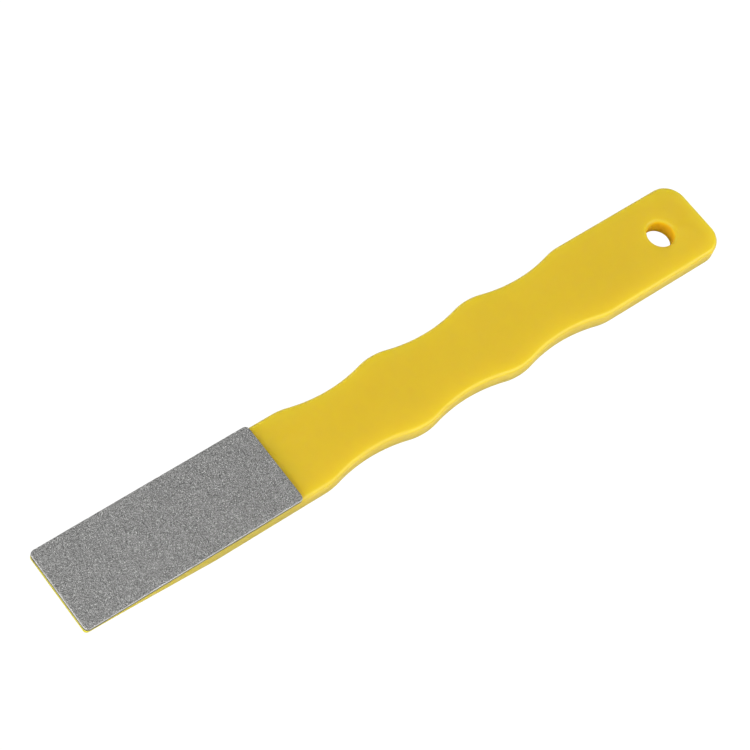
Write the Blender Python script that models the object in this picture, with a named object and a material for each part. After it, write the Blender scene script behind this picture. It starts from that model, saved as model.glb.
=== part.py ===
"""Hand-held diamond sharpening paddle for dressing tool edges.

A flat plastic handle with three finger scallops on each side carries a diamond-coated steel
plate, bonded face up to its tip. The underside slopes up over the last stretch of the tip, and
a hang hole goes through the tail.

Frame: metres, +X from the plate end (tip) to the hang hole (tail), +Z up through the diamond
face, origin under the middle of the object, on the plane that the handle rests on.
"""
import math

import bmesh
import bpy

MM = 0.001

# Handle, in millimetres
LENGTH = 163.2
HALF_WIDTH = 9.35
THICKNESS = 4.3
TIP_THICKNESS = 0.85
TIP_SLOPE_LENGTH = 30.0
TIP_CORNER_RADIUS = 0.8
TAIL_CORNER_RADIUS = 4.8
EDGE_RADIUS = 0.8
EDGE_RADIUS_OF_THICKNESS = 0.45

# Grip: crests and grooves of the finger scallops, measured from the tip
FIRST_CREST = 56.3
SCALLOP_PITCH = 24.9
SCALLOPS = 3
SCALLOP_DEPTH = 1.6
CREST_RADIUS = 14.0

# Hang hole
HOLE_RADIUS = 3.0
HOLE_FROM_TAIL = 10.9
HOLE_RIM_RADIUS = 0.8

# Plate assembly on top of the tip, from the bond upwards
PLATE_LENGTH = 50.3
PLATE_WIDTH = 19.05
PLATE_CORNER_RADIUS = 1.1
FILM_INSET = 0.15
FILM_THICKNESS = 0.26
PLATE_THICKNESS = 0.62
PLATE_EDGE_RADIUS = 0.10
COATING_INSET = 0.12
COATING_THICKNESS = 0.14
COATING_EDGE_RADIUS = 0.04
LAYER_GAP = 0.02

# Mesh fineness
SIDE_STEP = 1.1
CORNER_SEGMENTS = 8
EDGE_SEGMENTS = 3
HOLE_SEGMENTS = 48

# Colours as linear RGB, then roughness and metallic
YELLOW_PLASTIC = ((0.73, 0.48, 0.035), 0.28, 0.0)
CURED_EPOXY = ((0.09, 0.08, 0.06), 0.5, 0.0)
BARE_STEEL = ((0.56, 0.56, 0.55), 0.3, 1.0)
DIAMOND_GRIT = ((0.28, 0.28, 0.27), 0.55, 0.6)


def clear_scene():
    for old in list(bpy.data.objects):
        bpy.data.objects.remove(old, do_unlink=True)


def material(name, finish):
    colour, roughness, metallic = finish
    made = bpy.data.materials.new(name)
    made.use_nodes = True
    shader = made.node_tree.nodes["Principled BSDF"]
    shader.inputs["Base Color"].default_value = (*colour, 1.0)
    shader.inputs["Roughness"].default_value = roughness
    shader.inputs["Metallic"].default_value = metallic
    return made


def scallop_dip(x):
    """Depth of the scallops at x from the tip: equal crest and groove arcs, tangent to each other."""
    along = x - FIRST_CREST
    if along <= 0.0 or along >= SCALLOPS * SCALLOP_PITCH:
        return 0.0
    half = SCALLOP_PITCH / 2
    radii = (half ** 2 + SCALLOP_DEPTH ** 2) / (2 * SCALLOP_DEPTH)
    groove_radius = radii - CREST_RADIUS
    from_crest = min(along % SCALLOP_PITCH, SCALLOP_PITCH - along % SCALLOP_PITCH)
    if from_crest < half * CREST_RADIUS / radii:
        return CREST_RADIUS - math.sqrt(CREST_RADIUS ** 2 - from_crest ** 2)
    from_groove = half - from_crest
    return SCALLOP_DEPTH - groove_radius + math.sqrt(groove_radius ** 2 - from_groove ** 2)


def half_width(x):
    """Half of the handle's width at x from the tip."""
    return HALF_WIDTH - scallop_dip(x)


def corner(centre_x, centre_y, radius, start_degrees):
    """Points on a quarter circle, anticlockwise."""
    points = []
    for step in range(CORNER_SEGMENTS + 1):
        angle = math.radians(start_degrees + 90.0 * step / CORNER_SEGMENTS)
        points.append((centre_x + radius * math.cos(angle), centre_y + radius * math.sin(angle)))
    return points


def handle_outline():
    """The handle seen from above, anticlockwise from the near tip corner; x from the tip."""
    grip_end = FIRST_CREST + SCALLOPS * SCALLOP_PITCH
    steps = round((grip_end - FIRST_CREST) / SIDE_STEP)
    side = [TIP_SLOPE_LENGTH]
    side += [FIRST_CREST + (grip_end - FIRST_CREST) * step / steps for step in range(steps + 1)]
    near_side = [(x, -half_width(x)) for x in side]
    far_side = [(x, half_width(x)) for x in reversed(side)]
    tip_y = HALF_WIDTH - TIP_CORNER_RADIUS
    tail_x = LENGTH - TAIL_CORNER_RADIUS
    tail_y = HALF_WIDTH - TAIL_CORNER_RADIUS
    return (
        corner(TIP_CORNER_RADIUS, -tip_y, TIP_CORNER_RADIUS, 180.0)
        + near_side
        + corner(tail_x, -tail_y, TAIL_CORNER_RADIUS, 270.0)
        + corner(tail_x, tail_y, TAIL_CORNER_RADIUS, 0.0)
        + far_side
        + corner(TIP_CORNER_RADIUS, tip_y, TIP_CORNER_RADIUS, 90.0)
    )


def rounded_rectangle(length, width, radius):
    """A centred rectangle with round corners, anticlockwise."""
    x = length / 2 - radius
    y = width / 2 - radius
    return (
        corner(-x, -y, radius, 180.0)
        + corner(x, -y, radius, 270.0)
        + corner(x, y, radius, 0.0)
        + corner(-x, y, radius, 90.0)
    )


def inward_normals(outline):
    """The direction into the outline at each of its points."""
    normals = []
    for index, (x, y) in enumerate(outline):
        before = outline[index - 1]
        after = outline[(index + 1) % len(outline)]
        in_x, in_y = x - before[0], y - before[1]
        out_x, out_y = after[0] - x, after[1] - y
        in_length, out_length = math.hypot(in_x, in_y), math.hypot(out_x, out_y)
        along_x = in_x / in_length + out_x / out_length
        along_y = in_y / in_length + out_y / out_length
        length = math.hypot(along_x, along_y)
        normals.append((-along_y / length, along_x / length))
    return normals


def edge_profile():
    """Rounded edge from its flat face to its side wall, as (inset, depth) in edge radii."""
    profile = []
    for step in range(EDGE_SEGMENTS + 1):
        angle = math.radians(90.0 * step / EDGE_SEGMENTS)
        profile.append((1.0 - math.sin(angle), 1.0 - math.cos(angle)))
    return profile


def ring(mesh, outline, normals, radius_at, inset, height_at, sign, depth):
    """One loop of vertices around the outline, inset and sunk by the edge's profile."""
    loop = []
    for (x, y), (normal_x, normal_y) in zip(outline, normals):
        radius = radius_at(x)
        inner_x = x + normal_x * radius * inset
        inner_y = y + normal_y * radius * inset
        z = height_at(inner_x) + sign * radius * depth
        loop.append(mesh.verts.new((inner_x * MM, inner_y * MM, z * MM)))
    return loop


def skin(mesh, rings):
    """Quads between consecutive loops of vertices."""
    for lower, upper in zip(rings, rings[1:]):
        for index in range(len(lower)):
            after = (index + 1) % len(lower)
            mesh.faces.new((lower[index], lower[after], upper[after], upper[index]))


def fill(mesh, loops):
    """A flat face inside the first loop, left open inside the others."""
    edges = []
    for loop in loops:
        for index in range(len(loop)):
            pair = (loop[index], loop[(index + 1) % len(loop)])
            edges.append(mesh.edges.get(pair) or mesh.edges.new(pair))
    bmesh.ops.triangle_fill(mesh, use_beauty=True, use_dissolve=False, edges=edges)


def slab_rings(mesh, outline, radius_at, floor_at, roof_at):
    """Loops of a slab's side from its floor to its roof, with both edges rounded."""
    normals = inward_normals(outline)
    profile = edge_profile()
    rings = [
        ring(mesh, outline, normals, radius_at, inset, floor_at, 1.0, depth)
        for inset, depth in profile
    ]
    rings += [
        ring(mesh, outline, normals, radius_at, inset, roof_at, -1.0, depth)
        for inset, depth in reversed(profile)
    ]
    return rings


def finish(mesh, name, finish_name, finish_values, location, parent):
    """Close the mesh up and put it in the scene as one named object."""
    bmesh.ops.recalc_face_normals(mesh, faces=mesh.faces)
    data = bpy.data.meshes.new(name)
    mesh.to_mesh(data)
    mesh.free()
    data.shade_smooth()
    data.set_sharp_from_angle(angle=math.radians(35.0))
    data.materials.append(material(finish_name, finish_values))
    made = bpy.data.objects.new(name, data)
    made.location = [value * MM for value in location]
    made.parent = parent
    bpy.context.scene.collection.objects.link(made)
    return made


def add_handle(parent):
    """The moulded handle, with its sloped tip and its hang hole. Its origin is at the tip."""

    def floor_at(x):
        rise = max(0.0, 1.0 - x / TIP_SLOPE_LENGTH)
        return (THICKNESS - TIP_THICKNESS) * rise

    def roof_at(_x):
        return THICKNESS

    def radius_at(x):
        return min(EDGE_RADIUS, EDGE_RADIUS_OF_THICKNESS * (THICKNESS - floor_at(x)))

    mesh = bmesh.new()
    rings = slab_rings(mesh, handle_outline(), radius_at, floor_at, roof_at)
    skin(mesh, rings)

    hole_x = LENGTH - HOLE_FROM_TAIL
    hole_outline = []
    for step in range(HOLE_SEGMENTS):
        angle = -2.0 * math.pi * step / HOLE_SEGMENTS
        hole_outline.append((hole_x + HOLE_RADIUS * math.cos(angle), HOLE_RADIUS * math.sin(angle)))
    hole_rings = slab_rings(mesh, hole_outline, lambda _x: HOLE_RIM_RADIUS, floor_at, roof_at)
    skin(mesh, hole_rings)

    fill(mesh, [rings[-1], hole_rings[-1]])
    floor_loop = rings[0]
    bend = [index for index, (x, _y) in enumerate(handle_outline()) if x == TIP_SLOPE_LENGTH]
    near_bend, far_bend = bend
    fill(mesh, [floor_loop[near_bend:far_bend + 1], hole_rings[0]])
    fill(mesh, [floor_loop[far_bend:] + floor_loop[:near_bend + 1]])
    return finish(mesh, "handle", "yellow_plastic", YELLOW_PLASTIC, (-LENGTH / 2, 0.0, 0.0), parent)


def add_layer(name, inset, thickness, edge_radius, floor_z, look, parent):
    """One flat layer of the plate assembly. Its origin is under its middle."""
    finish_name, finish_values = look
    radius = max(0.3, PLATE_CORNER_RADIUS - inset)
    outline = rounded_rectangle(PLATE_LENGTH - 2 * inset, PLATE_WIDTH - 2 * inset, radius)
    mesh = bmesh.new()
    rings = slab_rings(mesh, outline, lambda _x: edge_radius, lambda _x: 0.0, lambda _x: thickness)
    skin(mesh, rings)
    fill(mesh, [rings[0]])
    fill(mesh, [rings[-1]])
    centre_x = (PLATE_LENGTH - LENGTH) / 2
    return finish(mesh, name, finish_name, finish_values, (centre_x, 0.0, floor_z), parent)


def build():
    clear_scene()
    paddle = bpy.data.objects.new("paddle", None)
    bpy.context.scene.collection.objects.link(paddle)
    add_handle(paddle)
    film_z = THICKNESS + LAYER_GAP
    plate_z = film_z + FILM_THICKNESS + LAYER_GAP
    coating_z = plate_z + PLATE_THICKNESS + LAYER_GAP
    film_look = ("cured_epoxy", CURED_EPOXY)
    plate_look = ("bare_steel", BARE_STEEL)
    coating_look = ("diamond_grit", DIAMOND_GRIT)
    add_layer("adhesive_film", FILM_INSET, FILM_THICKNESS, COATING_EDGE_RADIUS, film_z, film_look, paddle)
    add_layer("steel_plate", 0.0, PLATE_THICKNESS, PLATE_EDGE_RADIUS, plate_z, plate_look, paddle)
    add_layer(
        "diamond_coating", COATING_INSET, COATING_THICKNESS, COATING_EDGE_RADIUS, coating_z,
        coating_look, paddle,
    )


build()
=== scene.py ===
"""The finished look of a diamond sharpening paddle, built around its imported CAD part."""

import math

import bmesh
import bpy
import numpy as np
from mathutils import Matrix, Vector


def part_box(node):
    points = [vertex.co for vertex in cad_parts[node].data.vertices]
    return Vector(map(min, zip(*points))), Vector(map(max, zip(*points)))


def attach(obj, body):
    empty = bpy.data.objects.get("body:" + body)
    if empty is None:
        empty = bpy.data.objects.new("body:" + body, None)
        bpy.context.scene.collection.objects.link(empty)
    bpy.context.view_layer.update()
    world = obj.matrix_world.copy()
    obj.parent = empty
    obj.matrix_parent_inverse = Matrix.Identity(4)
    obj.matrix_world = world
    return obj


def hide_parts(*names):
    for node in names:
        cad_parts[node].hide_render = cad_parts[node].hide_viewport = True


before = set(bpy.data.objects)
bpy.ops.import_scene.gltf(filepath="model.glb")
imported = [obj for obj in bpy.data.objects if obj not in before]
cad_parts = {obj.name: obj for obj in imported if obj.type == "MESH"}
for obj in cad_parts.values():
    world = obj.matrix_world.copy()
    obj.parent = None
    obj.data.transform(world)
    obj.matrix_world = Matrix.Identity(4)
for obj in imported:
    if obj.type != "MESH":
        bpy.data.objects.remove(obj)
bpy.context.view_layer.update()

MM = 0.001
ROOT = "root"

# ---------------------------------------------------------------- sizes, in millimetres

handle_low, handle_high = [np.array(corner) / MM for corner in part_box("handle")]
plate_low, plate_high = [np.array(corner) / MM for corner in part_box("steel_plate")]
film_low, film_high = [np.array(corner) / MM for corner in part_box("adhesive_film")]
coating_low, coating_high = [np.array(corner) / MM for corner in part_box("diamond_coating")]

TIP_X = handle_low[0]
TAIL_X = handle_high[0]
HALF_WIDTH = handle_high[1]
THICKNESS = handle_high[2]

# The form of the handle and the plate's corners, as in the CAD part
TIP_THICKNESS = 0.85
TIP_SLOPE_LENGTH = 30.0
TIP_CORNER_RADIUS = 0.8
TAIL_CORNER_RADIUS = 4.8
EDGE_RADIUS = 0.8
EDGE_RADIUS_OF_THICKNESS = 0.45
FIRST_CREST = 56.3
SCALLOP_PITCH = 24.9
SCALLOPS = 3
SCALLOP_DEPTH = 1.6
CREST_RADIUS = 14.0
HOLE_RADIUS = 3.0
HOLE_FROM_TAIL = 10.9
HOLE_RIM_RADIUS = 0.8
PLATE_CORNER_RADIUS = 1.1

# Details of the moulding
OUTLINE_STEP = 0.4
DRAFT_INSET = 0.03
PARTING_STEP = 0.012
FLAT_SUPPORT = 0.05
PIN_MARK_RADIUS = 1.6
PIN_MARK_DEPTH = 0.06
PIN_MARK_FILLET = 0.08
PIN_MARKS_X = (48.0, 81.2, 106.1, 138.0)

# The plate's sheared edge: a little uneven, its bright band blending into a dull fractured band below,
# darkened further as painted shade next to the bond
PLATE_EDGE_STEP = 0.25
PLATE_ROUGHNESS = 0.02
BURNISHED_BAND = 0.24
FRACTURE_SHADE_BLEND = 0.10

# The bond: just clear of the pieces it joins, its edge squeezed out unevenly
BOND_EDGE_STEP = 0.4
BOND_GAP = 0.002
BOND_SQUEEZE = 0.12

# The grit: a field of facets whose corners stand at random heights
COATING_INSET = 0.12
GRIT_CELL = 0.118
GRIT_JITTER = 0.33
GRIT_RELIEF = 0.050
GRIT_SINK = 0.055
GRIT_RIM_DROP = 0.03
GRIT_SHADE_CELL = 0.085

# The plastic's shine, the reach of the painted shade out from the hang hole's wall, and the light
# inside
GLOSS_ROUGHNESS = 0.29
SATIN_ROUGHNESS = 0.55
GLOSS_SPECULAR = 0.38
SATIN_SPECULAR = 0.85
HOLE_SPECULAR = 0.05
HOLE_PAINTED_SHADE_START = 0.01
HOLE_PAINTED_SHADE_END = 0.25
SCATTER_SHARE = 0.9
SCATTER_REACH = 12.0
SCATTER_REACH_BY_COLOUR = (1.0, 0.85, 0.10)

# The camera: its angles are in degrees
CAMERA_ELEVATION = 58.54
CAMERA_AZIMUTH = -54.43
CAMERA_ROLL = 19.48
CAMERA_DISTANCE = 481.2
CAMERA_TARGET = (-0.42, 6.77)
CAMERA_FOCAL_SHARE = 3.2
SENSOR_WIDTH = 36.0

# The stage: in metres, apart from the floor's drop
WORLD_STRENGTH = 0.20
LIGHT_DISTANCE = 0.9
FLOOR_HALF_SIZE = 2.0
FLOOR_DROP = 0.05


# ---------------------------------------------------------------- outlines

def arc(centre_x, centre_y, radius, start_degrees, segments, sweep=90.0):
    """Points on an anticlockwise arc."""
    angles = np.radians(start_degrees + sweep * np.arange(segments + 1) / segments)
    return np.column_stack((centre_x + radius * np.cos(angles), centre_y + radius * np.sin(angles)))


def scallop_dip(x):
    """Depth of the finger scallops at x from the tip: tangent crest and groove arcs."""
    along = np.clip(x - FIRST_CREST, 0.0, SCALLOPS * SCALLOP_PITCH)
    half = SCALLOP_PITCH / 2
    radii = (half ** 2 + SCALLOP_DEPTH ** 2) / (2 * SCALLOP_DEPTH)
    groove_radius = radii - CREST_RADIUS
    phase = along % SCALLOP_PITCH
    from_crest = np.minimum(phase, SCALLOP_PITCH - phase)
    crest = CREST_RADIUS - np.sqrt(CREST_RADIUS ** 2 - np.minimum(from_crest, CREST_RADIUS) ** 2)
    groove = SCALLOP_DEPTH - groove_radius + np.sqrt(groove_radius ** 2 - (half - from_crest) ** 2)
    return np.where(from_crest < half * CREST_RADIUS / radii, crest, groove)


def handle_outline():
    """The handle seen from above, anticlockwise from the near tip corner; x from the tip."""
    length = TAIL_X - TIP_X
    grip_end = FIRST_CREST + SCALLOPS * SCALLOP_PITCH
    grip = np.linspace(FIRST_CREST, grip_end, round((grip_end - FIRST_CREST) / OUTLINE_STEP) + 1)
    neck = np.linspace(TIP_SLOPE_LENGTH, FIRST_CREST, 12)[:-1]
    tip = np.linspace(0.0, TIP_SLOPE_LENGTH, 14)[1:-1]
    tail = np.linspace(grip_end, length - TAIL_CORNER_RADIUS, 10)[1:-1]
    side = np.concatenate((tip, neck, grip, tail))
    width = HALF_WIDTH - scallop_dip(side)
    tip_y = HALF_WIDTH - TIP_CORNER_RADIUS
    tail_x, tail_y = length - TAIL_CORNER_RADIUS, HALF_WIDTH - TAIL_CORNER_RADIUS
    return np.concatenate((
        arc(TIP_CORNER_RADIUS, -tip_y, TIP_CORNER_RADIUS, 180.0, 8),
        np.column_stack((side, -width)),
        arc(tail_x, -tail_y, TAIL_CORNER_RADIUS, 270.0, 24),
        arc(tail_x, tail_y, TAIL_CORNER_RADIUS, 0.0, 24),
        np.column_stack((side, width))[::-1],
        arc(TIP_CORNER_RADIUS, tip_y, TIP_CORNER_RADIUS, 90.0, 8),
    ))


def rounded_rectangle(length, width, radius, step):
    """A centred rectangle with round corners, anticlockwise, with points along its sides."""
    x, y = length / 2 - radius, width / 2 - radius
    corners = ((-x, -y, 180.0), (x, -y, 270.0), (x, y, 0.0), (-x, y, 90.0))
    points = []
    for index, (corner_x, corner_y, start) in enumerate(corners):
        corner = arc(corner_x, corner_y, radius, start, 10)
        after_x, after_y, after_start = corners[(index + 1) % len(corners)]
        after = arc(after_x, after_y, radius, after_start, 10)[0]
        count = max(2, round(np.linalg.norm(after - corner[-1]) / step))
        shares = np.arange(1, count)[:, None] / count
        points += [corner, corner[-1] + (after - corner[-1]) * shares]
    return np.concatenate(points)


def inward_normals(outline):
    """Unit directions into an anticlockwise outline at each of its points."""
    arriving = outline - np.roll(outline, 1, axis=0)
    leaving = np.roll(outline, -1, axis=0) - outline
    along = arriving / np.linalg.norm(arriving, axis=1)[:, None]
    along = along + leaving / np.linalg.norm(leaving, axis=1)[:, None]
    along /= np.linalg.norm(along, axis=1)[:, None]
    return np.column_stack((-along[:, 1], along[:, 0]))


# ---------------------------------------------------------------- mesh building

def add_ring(mesh, points, heights):
    return [mesh.verts.new((x * MM, y * MM, z * MM)) for (x, y), z in zip(points, heights)]


def skin(mesh, rings):
    """Quads between consecutive loops of vertices."""
    for lower, upper in zip(rings, rings[1:]):
        for index in range(len(lower)):
            after = (index + 1) % len(lower)
            mesh.faces.new((lower[index], lower[after], upper[after], upper[index]))


def fill(mesh, loops):
    """Flat triangles inside the first loop and outside the others."""
    edges = []
    for loop in loops:
        for index in range(len(loop)):
            pair = (loop[index], loop[(index + 1) % len(loop)])
            edges.append(mesh.edges.get(pair) or mesh.edges.new(pair))
    bmesh.ops.triangle_fill(mesh, use_beauty=True, use_dissolve=False, edges=edges)


def finish_mesh(mesh, name, sharp_degrees=40.0):
    bmesh.ops.recalc_face_normals(mesh, faces=mesh.faces)
    data = bpy.data.meshes.new(name)
    mesh.to_mesh(data)
    mesh.free()
    data.shade_smooth()
    data.set_sharp_from_angle(angle=math.radians(sharp_degrees))
    made = bpy.data.objects.new(name, data)
    bpy.context.scene.collection.objects.link(made)
    return made


def stand_for(piece, node, look):
    """Put a detailed piece in its CAD node's place."""
    piece.data.materials.append(look)
    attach(piece, ROOT)
    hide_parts(node)


def side_rings(mesh, outline, radius, floor, roof, draft, parting, edge_segments):
    """Loops up a drafted side wall with rounded edges; radius has one value for each outline point.

    floor and roof are functions of the x of the inset point.
    """
    normals = inward_normals(outline)
    rings = []

    def ring(inset, from_floor, lift):
        points = outline + normals * inset[:, None]
        base = floor(points[:, 0]) if from_floor else roof(points[:, 0])
        rings.append(add_ring(mesh, points, base + lift))

    angles = np.radians(90.0 * np.arange(edge_segments + 1) / edge_segments)
    ring(radius + draft + FLAT_SUPPORT, True, 0.0)
    for angle in angles:
        ring(radius * (1 - math.sin(angle)) + draft, True, radius * (1 - math.cos(angle)))
    wall_low = floor(outline[:, 0]) + radius
    wall_high = roof(outline[:, 0]) - radius
    if parting:
        quarter = draft / 2
        steps = ((0.25, quarter), (0.49, parting), (0.5, 0.0), (0.51, parting), (0.75, quarter))
        for share, inset in steps:
            points = outline + normals * inset
            rings.append(add_ring(mesh, points, wall_low + (wall_high - wall_low) * share))
    for angle in angles[::-1]:
        ring(radius * (1 - math.sin(angle)) + draft, False, -radius * (1 - math.cos(angle)))
    ring(radius + draft + FLAT_SUPPORT, False, 0.0)
    return rings


# ---------------------------------------------------------------- pieces

def make_handle():
    """The moulding: drafted walls, a fine parting line, a hang hole and pin marks underneath."""

    def floor(x):
        rise = np.maximum(0.0, 1.0 - (x - TIP_X) / TIP_SLOPE_LENGTH)
        return (THICKNESS - TIP_THICKNESS) * rise

    def roof(x):
        return np.full_like(x, THICKNESS)

    mesh = bmesh.new()
    outline = handle_outline()
    on_bend = np.flatnonzero(np.isclose(outline[:, 0], TIP_SLOPE_LENGTH))
    outline[:, 0] += TIP_X
    height = THICKNESS - floor(outline[:, 0])
    radius = np.minimum(EDGE_RADIUS, EDGE_RADIUS_OF_THICKNESS * height)
    rings = side_rings(mesh, outline, radius, floor, roof, DRAFT_INSET, PARTING_STEP, 8)
    skin(mesh, rings)

    hole_outline = arc(TAIL_X - HOLE_FROM_TAIL, 0.0, HOLE_RADIUS, 0.0, 128, -360.0)[:-1]
    hole_radius = np.full(len(hole_outline), HOLE_RIM_RADIUS)
    hole_rings = side_rings(mesh, hole_outline, hole_radius, floor, roof, 0.0, 0.0, 8)
    skin(mesh, hole_rings)

    depths = (
        (0.0, 0.0), (PIN_MARK_FILLET, PIN_MARK_DEPTH * 0.8), (2 * PIN_MARK_FILLET, PIN_MARK_DEPTH),
    )
    marks = []
    for x in PIN_MARKS_X:
        mark_rings = []
        for inset, depth in depths:
            circle = arc(TIP_X + x, 0.0, PIN_MARK_RADIUS - inset, 0.0, 40, -360.0)[:-1]
            mark_rings.append(add_ring(mesh, circle, np.full(len(circle), depth)))
        skin(mesh, mark_rings)
        fill(mesh, [mark_rings[-1]])
        marks.append(mark_rings[0])

    near_bend, far_bend = on_bend
    floor_loop = rings[0]
    fill(mesh, [rings[-1], hole_rings[-1]])
    fill(mesh, [floor_loop[near_bend:far_bend + 1], hole_rings[0], *marks])
    fill(mesh, [floor_loop[far_bend:] + floor_loop[:near_bend + 1]])
    return finish_mesh(mesh, "moulded_handle")


def smoothed_noise(seed, count, passes):
    """A closed run of random values, each pass averaging every value with its two neighbours."""
    rough = np.random.default_rng(seed).normal(0.0, 1.0, count)
    for _ in range(passes):
        rough = (np.roll(rough, 1) + rough + np.roll(rough, -1)) / 3
    return rough


def make_plate():
    """The sheared steel plate: a rolled top edge, a small radius below and edges a little uneven."""
    centre = (plate_low + plate_high) / 2
    size = plate_high - plate_low
    outline = rounded_rectangle(size[0], size[1], PLATE_CORNER_RADIUS, PLATE_EDGE_STEP)
    normals = inward_normals(outline)
    rough = smoothed_noise(4, len(outline), 3)
    uneven = PLATE_ROUGHNESS * (1.0 + np.clip(rough, -1.0, 1.0))
    mesh = bmesh.new()
    rings = []
    bottom, top = plate_low[2], plate_high[2]
    profile = (
        (0.30, bottom), (0.05, bottom), (0.012, bottom + 0.03), (0.0, bottom + 0.08),
        (0.006, bottom + 0.22), (0.0, bottom + 0.38), (0.012, top - 0.18), (0.035, top - 0.09),
        (0.07, top - 0.035), (0.13, top - 0.008), (0.20, top), (0.40, top),
    )
    for inset, z in profile:
        points = outline + normals * (inset + uneven)[:, None] + centre[:2]
        rings.append(add_ring(mesh, points, np.full(len(points), z)))
    skin(mesh, rings)
    fill(mesh, [rings[0]])
    fill(mesh, [rings[-1]])
    return finish_mesh(mesh, "plate_body")


def make_bond():
    """The cured adhesive: an even layer whose edge was squeezed out unevenly."""
    centre = (film_low + film_high) / 2
    size = film_high - film_low
    outline = rounded_rectangle(size[0], size[1], PLATE_CORNER_RADIUS, BOND_EDGE_STEP)
    normals = inward_normals(outline)
    rough = smoothed_noise(9, len(outline), 12)
    squeeze = BOND_SQUEEZE * rough / np.abs(rough).max()
    mesh = bmesh.new()
    rings = []
    bottom, top = THICKNESS + BOND_GAP, plate_low[2] - BOND_GAP
    profile = ((0.25, 0.0), (0.02, 0.0), (-0.02, 0.2), (0.03, 0.6), (0.0, 1.0), (0.3, 1.0))
    for inset, height_share in profile:
        points = outline + normals * (inset - squeeze)[:, None] + centre[:2]
        heights = np.full(len(points), bottom + (top - bottom) * height_share)
        rings.append(add_ring(mesh, points, heights))
    skin(mesh, rings)
    fill(mesh, [rings[0]])
    fill(mesh, [rings[-1]])
    return finish_mesh(mesh, "bond_line")


def make_coating():
    """The grit: a closed sheet whose top is a fine field of facets with corners at random heights."""
    half = (coating_high - coating_low)[:2] / 2
    centre = (coating_low + coating_high)[:2] / 2
    corner = PLATE_CORNER_RADIUS - COATING_INSET
    across = round(2 * half[1] / GRIT_CELL)
    along = round(2 * half[0] / GRIT_CELL)
    y = np.linspace(-half[1], half[1], across + 1)
    beyond = np.maximum(0.0, np.abs(y) - (half[1] - corner))
    reach = half[0] - corner + np.sqrt(np.maximum(corner ** 2 - beyond ** 2, 0.0))
    share = np.linspace(-1.0, 1.0, along + 1)
    grid_x = reach[:, None] * share[None, :]
    grid_y = np.repeat(y[:, None], along + 1, axis=1)

    random = np.random.default_rng(21)
    jitter = GRIT_JITTER * GRIT_CELL
    inner = np.zeros_like(grid_x)
    inner[1:-1, 1:-1] = 1.0
    grid_x = grid_x + inner * random.uniform(-jitter, jitter, grid_x.shape)
    grid_y = grid_y + inner * random.uniform(-jitter, jitter, grid_y.shape)
    grains = random.uniform(0.0, 1.0, grid_x.shape) ** 1.6
    patch = random.normal(0.0, 1.0, grid_x.shape)
    for _ in range(6):
        rows_beside = np.roll(patch, 1, 0) + np.roll(patch, -1, 0)
        columns_beside = np.roll(patch, 1, 1) + np.roll(patch, -1, 1)
        patch = (rows_beside + columns_beside) / 4
    grains = grains * np.clip(1.0 + 1.2 * patch, 0.3, 1.5)
    top = coating_high[2]
    grid_z = top - GRIT_SINK + GRIT_RELIEF * np.clip(grains, 0.0, 1.1)
    grid_z = np.where(inner == 0.0, top - GRIT_SINK - GRIT_RIM_DROP, grid_z)

    rows, columns = grid_x.shape
    upper = np.column_stack((grid_x.ravel() + centre[0], grid_y.ravel() + centre[1], grid_z.ravel()))
    index = np.arange(rows * columns).reshape(rows, columns)
    quads = np.column_stack((
        index[:-1, :-1].ravel(), index[:-1, 1:].ravel(), index[1:, 1:].ravel(), index[1:, :-1].ravel(),
    ))
    rim = np.concatenate((
        index[0, :-1], index[:-1, -1], index[-1, :0:-1], index[:0:-1, 0],
    ))
    lower = upper[rim].copy()
    lower[:, 2] = coating_low[2]
    first = len(upper)
    low = first + np.arange(len(rim))
    skirt = np.column_stack((rim, low, np.roll(low, -1), np.roll(rim, -1)))
    data = bpy.data.meshes.new("grit_face")
    vertices = np.concatenate((upper, lower)) * MM
    faces = quads.tolist() + skirt.tolist() + [low[::-1].tolist()]
    data.from_pydata(vertices.tolist(), [], faces)
    data.validate()
    data.shade_flat()
    made = bpy.data.objects.new("grit_face", data)
    bpy.context.scene.collection.objects.link(made)
    return made


# ---------------------------------------------------------------- materials

def start_material(name):
    made = bpy.data.materials.new(name)
    made.use_nodes = True
    tree = made.node_tree
    return made, tree, tree.nodes["Principled BSDF"]


def node(tree, kind, inputs=(), **settings):
    made = tree.nodes.new(kind)
    for key, value in settings.items():
        setattr(made, key, value)
    for key, value in dict(inputs).items():
        if isinstance(value, bpy.types.NodeSocket):
            tree.links.new(value, made.inputs[key])
        else:
            made.inputs[key].default_value = value
    return made


def object_space(tree):
    return node(tree, "ShaderNodeTexCoord").outputs["Object"]


def noise(tree, space, feature_mm, detail=3.0, roughness=0.5):
    scale = 1.0 / (feature_mm * MM)
    inputs = {"Vector": space, "Scale": scale, "Detail": detail, "Roughness": roughness}
    return node(tree, "ShaderNodeTexNoise", inputs).outputs["Fac"]


def remap(tree, value, low, high, to_low, to_high):
    inputs = {"Value": value, "From Min": low, "From Max": high, "To Min": to_low, "To Max": to_high}
    return node(tree, "ShaderNodeMapRange", inputs).outputs["Result"]


def mix_colour(tree, share, first, second, blend="MIX"):
    inputs = {0: share, 6: first, 7: second}
    return node(tree, "ShaderNodeMix", inputs, data_type="RGBA", blend_type=blend).outputs[2]


def bump(tree, height, depth_mm, strength=1.0, normal=None):
    inputs = {"Height": height, "Distance": depth_mm * MM, "Strength": strength}
    if normal is not None:
        inputs["Normal"] = normal
    return node(tree, "ShaderNodeBump", inputs).outputs["Normal"]


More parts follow.
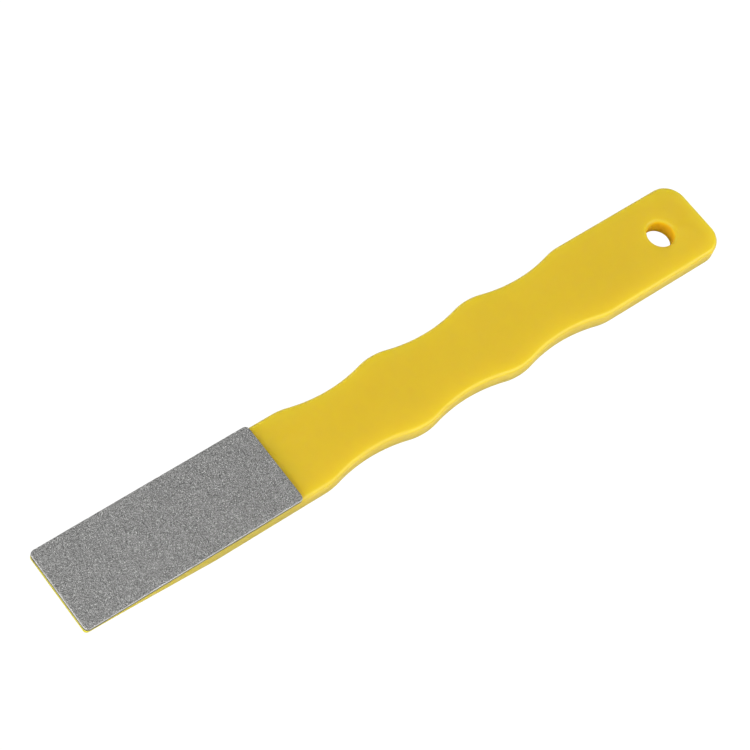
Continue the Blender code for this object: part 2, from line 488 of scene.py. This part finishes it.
def distance_from_hole(tree, space):
    """How far a point is from the upright axis of the hang hole."""
    centre = ((TAIL_X - HOLE_FROM_TAIL) * MM, 0.0, 0.0)
    offset = node(tree, "ShaderNodeVectorMath", {0: space, 1: centre}, operation="SUBTRACT")
    level = {0: offset.outputs["Vector"], 1: (1.0, 1.0, 0.0)}
    flat = node(tree, "ShaderNodeVectorMath", level, operation="MULTIPLY")
    length = node(tree, "ShaderNodeVectorMath", {0: flat.outputs["Vector"]}, operation="LENGTH")
    return length.outputs["Value"]


def height_of(tree, space):
    return node(tree, "ShaderNodeSeparateXYZ", {"Vector": space}).outputs["Z"]


def stretch(tree, space, scale):
    return node(tree, "ShaderNodeMapping", {"Vector": space, "Scale": scale}).outputs["Vector"]


def mix_value(tree, share, first, second):
    return node(tree, "ShaderNodeMix", {0: share, 2: first, 3: second}).outputs[0]


def yellow_plastic():
    """Translucent moulded plastic: a glossy, faintly scratched top face above satin walls.

    The hang hole's wall is lit only through the plastic, so a painted shade of deeper orange,
    set by the distance from the hole's axis, stands in for that light there.
    """
    made, tree, shader = start_material("yellow_plastic")
    space = object_space(tree)
    cloud = remap(tree, noise(tree, space, 22.0, 2.0), 0.3, 0.7, 0.0, 1.0)
    colour = mix_colour(tree, cloud, (0.614, 0.424, 0.024, 1.0), (0.628, 0.437, 0.025, 1.0))
    specks = node(tree, "ShaderNodeTexVoronoi", {"Vector": space, "Scale": 1.0 / (6.0 * MM)})
    near = remap(tree, specks.outputs["Distance"], 0.012, 0.03, 1.0, 0.0)
    colour = mix_colour(tree, near, colour, (0.30, 0.19, 0.03, 1.0))
    away = distance_from_hole(tree, space)
    painted_shade_start, painted_shade_end = (HOLE_RADIUS + HOLE_PAINTED_SHADE_START) * MM, (HOLE_RADIUS + HOLE_PAINTED_SHADE_END) * MM
    hole_painted_shade = remap(tree, away, painted_shade_start, painted_shade_end, 1.0, 0.0)
    on_rim = remap(tree, away, HOLE_RADIUS * MM, (HOLE_RADIUS + HOLE_RIM_RADIUS) * MM, 1.0, 0.0)
    # painted shade: the hang hole's wall coloured a deeper orange, fading out just beyond the wall
    colour = mix_colour(tree, hole_painted_shade, colour, (0.80, 0.42, 0.008, 1.0))
    # painted shade: the hang hole's rounded rim darkened a little
    colour = mix_colour(tree, on_rim, colour, (0.92, 0.93, 0.90, 1.0), "MULTIPLY")
    tree.links.new(colour, shader.inputs["Base Color"])

    lengthways = stretch(tree, space, (0.06, 1.0, 1.0))
    scratch = remap(tree, noise(tree, lengthways, 0.5, 1.0), 0.68, 0.74, 0.0, 1.0)
    polished = remap(tree, scratch, 0.0, 1.0, GLOSS_ROUGHNESS, GLOSS_ROUGHNESS + 0.03)
    wall_top, edge_top = (THICKNESS - EDGE_RADIUS) * MM, (THICKNESS - EDGE_RADIUS / 2) * MM
    wall = remap(tree, height_of(tree, space), wall_top, edge_top, 1.0, 0.0)
    tree.links.new(mix_value(tree, wall, polished, SATIN_ROUGHNESS), shader.inputs["Roughness"])
    specular = mix_value(tree, wall, GLOSS_SPECULAR, SATIN_SPECULAR)
    specular = mix_value(tree, on_rim, specular, HOLE_SPECULAR)
    tree.links.new(specular, shader.inputs["Specular IOR Level"])
    sink = bump(tree, noise(tree, space, 14.0, 1.0), 0.03)
    skin_bump = bump(tree, noise(tree, space, 0.35, 2.0), 0.0015, 1.0, sink)
    tree.links.new(skin_bump, shader.inputs["Normal"])
    shader.inputs["Subsurface Weight"].default_value = SCATTER_SHARE
    shader.inputs["Subsurface Radius"].default_value = SCATTER_REACH_BY_COLOUR
    shader.inputs["Subsurface Scale"].default_value = SCATTER_REACH * MM
    shader.inputs["IOR"].default_value = 1.5
    return made


def plate_steel():
    """Nickel-plated sheet steel: down its edges a bright burnished band above a dull fractured band,
    darkened further as painted shade.
    """
    made, tree, shader = start_material("plate_steel")
    space = object_space(tree)
    shear = noise(tree, stretch(tree, space, (1.0, 1.0, 0.12)), 0.12, 3.0, 0.6)
    mark = remap(tree, shear, 0.3, 0.7, 0.0, 1.0)
    colour = mix_colour(tree, mark, (0.26, 0.25, 0.24, 1.0), (0.55, 0.54, 0.52, 1.0))
    burnished_from = (plate_high[2] - BURNISHED_BAND) * MM
    fracture_shade_from = burnished_from - FRACTURE_SHADE_BLEND * MM
    # partly a real fractured band, partly painted shade: the plate's edge is darker below the
    # burnished band, next to the bond
    fracture_and_shade = remap(tree, height_of(tree, space), fracture_shade_from, burnished_from, 1.0, 0.0)
    colour = mix_colour(tree, fracture_and_shade, colour, (0.10, 0.095, 0.085, 1.0))
    tree.links.new(colour, shader.inputs["Base Color"])
    rough = mix_value(tree, fracture_and_shade, remap(tree, shear, 0.3, 0.7, 0.28, 0.42), 0.6)
    tree.links.new(rough, shader.inputs["Roughness"])
    tree.links.new(bump(tree, shear, 0.012), shader.inputs["Normal"])
    shader.inputs["Metallic"].default_value = 1.0
    return made


def cured_epoxy():
    """Dark cured adhesive, slightly uneven and satin."""
    made, tree, shader = start_material("cured_epoxy")
    space = object_space(tree)
    blotch = remap(tree, noise(tree, space, 0.8, 3.0), 0.3, 0.7, 0.0, 1.0)
    colour = mix_colour(tree, blotch, (0.07, 0.055, 0.03, 1.0), (0.16, 0.125, 0.06, 1.0))
    tree.links.new(colour, shader.inputs["Base Color"])
    tree.links.new(remap(tree, blotch, 0.0, 1.0, 0.4, 0.6), shader.inputs["Roughness"])
    tree.links.new(bump(tree, blotch, 0.02), shader.inputs["Normal"])
    return made


def diamond_grit():
    """Nickel holding diamond grains: grains vary in tone at random, and a few carry a painted glint.
    """
    made, tree, shader = start_material("diamond_grit")
    space = object_space(tree)
    cell_scale = 1.0 / (GRIT_SHADE_CELL * MM)
    cells = node(tree, "ShaderNodeTexVoronoi", {"Vector": space, "Scale": cell_scale})
    draws = node(tree, "ShaderNodeSeparateColor", {"Color": cells.outputs["Color"]})
    tone, glint_draw = draws.outputs["Red"], draws.outputs["Green"]
    blotch = remap(tree, noise(tree, space, 1.3, 4.0, 0.65), 0.35, 0.65, 0.0, 1.0)
    shade = remap(tree, tone, 0.25, 0.75, 0.0, 1.0)
    base = mix_colour(tree, shade, (0.08, 0.08, 0.079, 1.0), (0.41, 0.41, 0.402, 1.0))
    base = mix_colour(tree, remap(tree, blotch, 0.0, 1.0, 0.0, 0.06), base, (0.26, 0.26, 0.253, 1.0))
    # painted glint: a few random grains coloured near white
    painted_glint = remap(tree, glint_draw, 0.955, 0.975, 0.0, 1.0)
    base = mix_colour(tree, painted_glint, base, (0.90, 0.90, 0.88, 1.0))
    tree.links.new(base, shader.inputs["Base Color"])
    tree.links.new(remap(tree, tone, 0.0, 1.0, 0.62, 0.36), shader.inputs["Roughness"])
    tree.links.new(bump(tree, noise(tree, space, 0.07, 2.0), 0.012), shader.inputs["Normal"])
    shader.inputs["Metallic"].default_value = 0.55
    return made


def white_floor():
    """Matt white paper for the light that it throws back, clean white where the camera sees it."""
    made, tree, shader = start_material("white_floor")
    space = object_space(tree)
    paper = remap(tree, noise(tree, space, 40.0, 2.0), 0.3, 0.7, 0.0, 1.0)
    colour = mix_colour(tree, paper, (0.59, 0.59, 0.59, 1.0), (0.61, 0.61, 0.61, 1.0))
    tree.links.new(colour, shader.inputs["Base Color"])
    shader.inputs["Roughness"].default_value = 0.9
    shader.inputs["Specular IOR Level"].default_value = 0.0
    clean = node(tree, "ShaderNodeEmission", {"Color": (1.0, 1.0, 1.0, 1.0), "Strength": 1.05})
    seen = node(tree, "ShaderNodeLightPath").outputs["Is Camera Ray"]
    either = node(tree, "ShaderNodeMixShader", {0: seen, 1: shader.outputs[0], 2: clean.outputs[0]})
    tree.links.new(either.outputs[0], tree.nodes["Material Output"].inputs["Surface"])
    return made


# ---------------------------------------------------------------- stage, light and camera

def add_floor():
    data = bpy.data.meshes.new("floor")
    signs = ((-1, -1), (1, -1), (1, 1), (-1, 1))
    corners = [(FLOOR_HALF_SIZE * x, FLOOR_HALF_SIZE * y, 0.0) for x, y in signs]
    data.from_pydata(corners, [], [(0, 1, 2, 3)])
    data.materials.append(white_floor())
    floor = bpy.data.objects.new("floor", data)
    floor.location = (0.0, 0.0, -FLOOR_DROP * MM)
    bpy.context.scene.collection.objects.link(floor)


def add_softbox(name, direction, size, power):
    light = bpy.data.lights.new(name, "AREA")
    light.shape = "RECTANGLE"
    light.size, light.size_y = size
    light.energy = power
    lamp = bpy.data.objects.new(name, light)
    place = Vector(direction).normalized() * LIGHT_DISTANCE
    lamp.location = place
    lamp.rotation_euler = place.to_track_quat("Z", "Y").to_euler()
    bpy.context.scene.collection.objects.link(lamp)


def add_world(strength):
    world = bpy.data.worlds.new("studio")
    world.use_nodes = True
    world.node_tree.nodes["Background"].inputs["Color"].default_value = (1.0, 1.0, 1.0, 1.0)
    world.node_tree.nodes["Background"].inputs["Strength"].default_value = strength
    bpy.context.scene.world = world


def add_camera():
    azimuth, elevation, roll = map(math.radians, (CAMERA_AZIMUTH, CAMERA_ELEVATION, CAMERA_ROLL))
    level_share = math.cos(elevation)
    back = Vector((
        math.sin(azimuth) * level_share, -math.cos(azimuth) * level_share, math.sin(elevation),
    ))
    level = Vector((math.cos(azimuth), math.sin(azimuth), 0.0))
    upright = back.cross(level)
    right = level * math.cos(roll) + upright * math.sin(roll)
    up = upright * math.cos(roll) - level * math.sin(roll)
    data = bpy.data.cameras.new("camera")
    data.sensor_width = SENSOR_WIDTH
    data.lens = CAMERA_FOCAL_SHARE * SENSOR_WIDTH
    data.clip_start = 0.01
    camera = bpy.data.objects.new("camera", data)
    matrix = camera.matrix_world.copy()
    place = Vector((*CAMERA_TARGET, 0.0)) * MM + back * CAMERA_DISTANCE * MM
    for row in range(3):
        matrix[row] = (right[row], up[row], back[row], place[row])
    camera.matrix_world = matrix
    bpy.context.scene.collection.objects.link(camera)
    bpy.context.scene.camera = camera


add_camera()
add_floor()
add_world(WORLD_STRENGTH)
add_softbox("key", (-0.90, -0.05, 0.73), (1.0, 1.0), 10.9)
add_softbox("near_fill", (0.42, -0.70, 0.58), (1.2, 0.8), 8.6)
add_softbox("far_fill", (0.10, 0.80, 0.42), (1.2, 0.6), 1.6)
bpy.context.scene.view_settings.view_transform = "Standard"

stand_for(make_handle(), "handle", yellow_plastic())
stand_for(make_bond(), "adhesive_film", cured_epoxy())
stand_for(make_plate(), "steel_plate", plate_steel())
stand_for(make_coating(), "diamond_coating", diamond_grit())
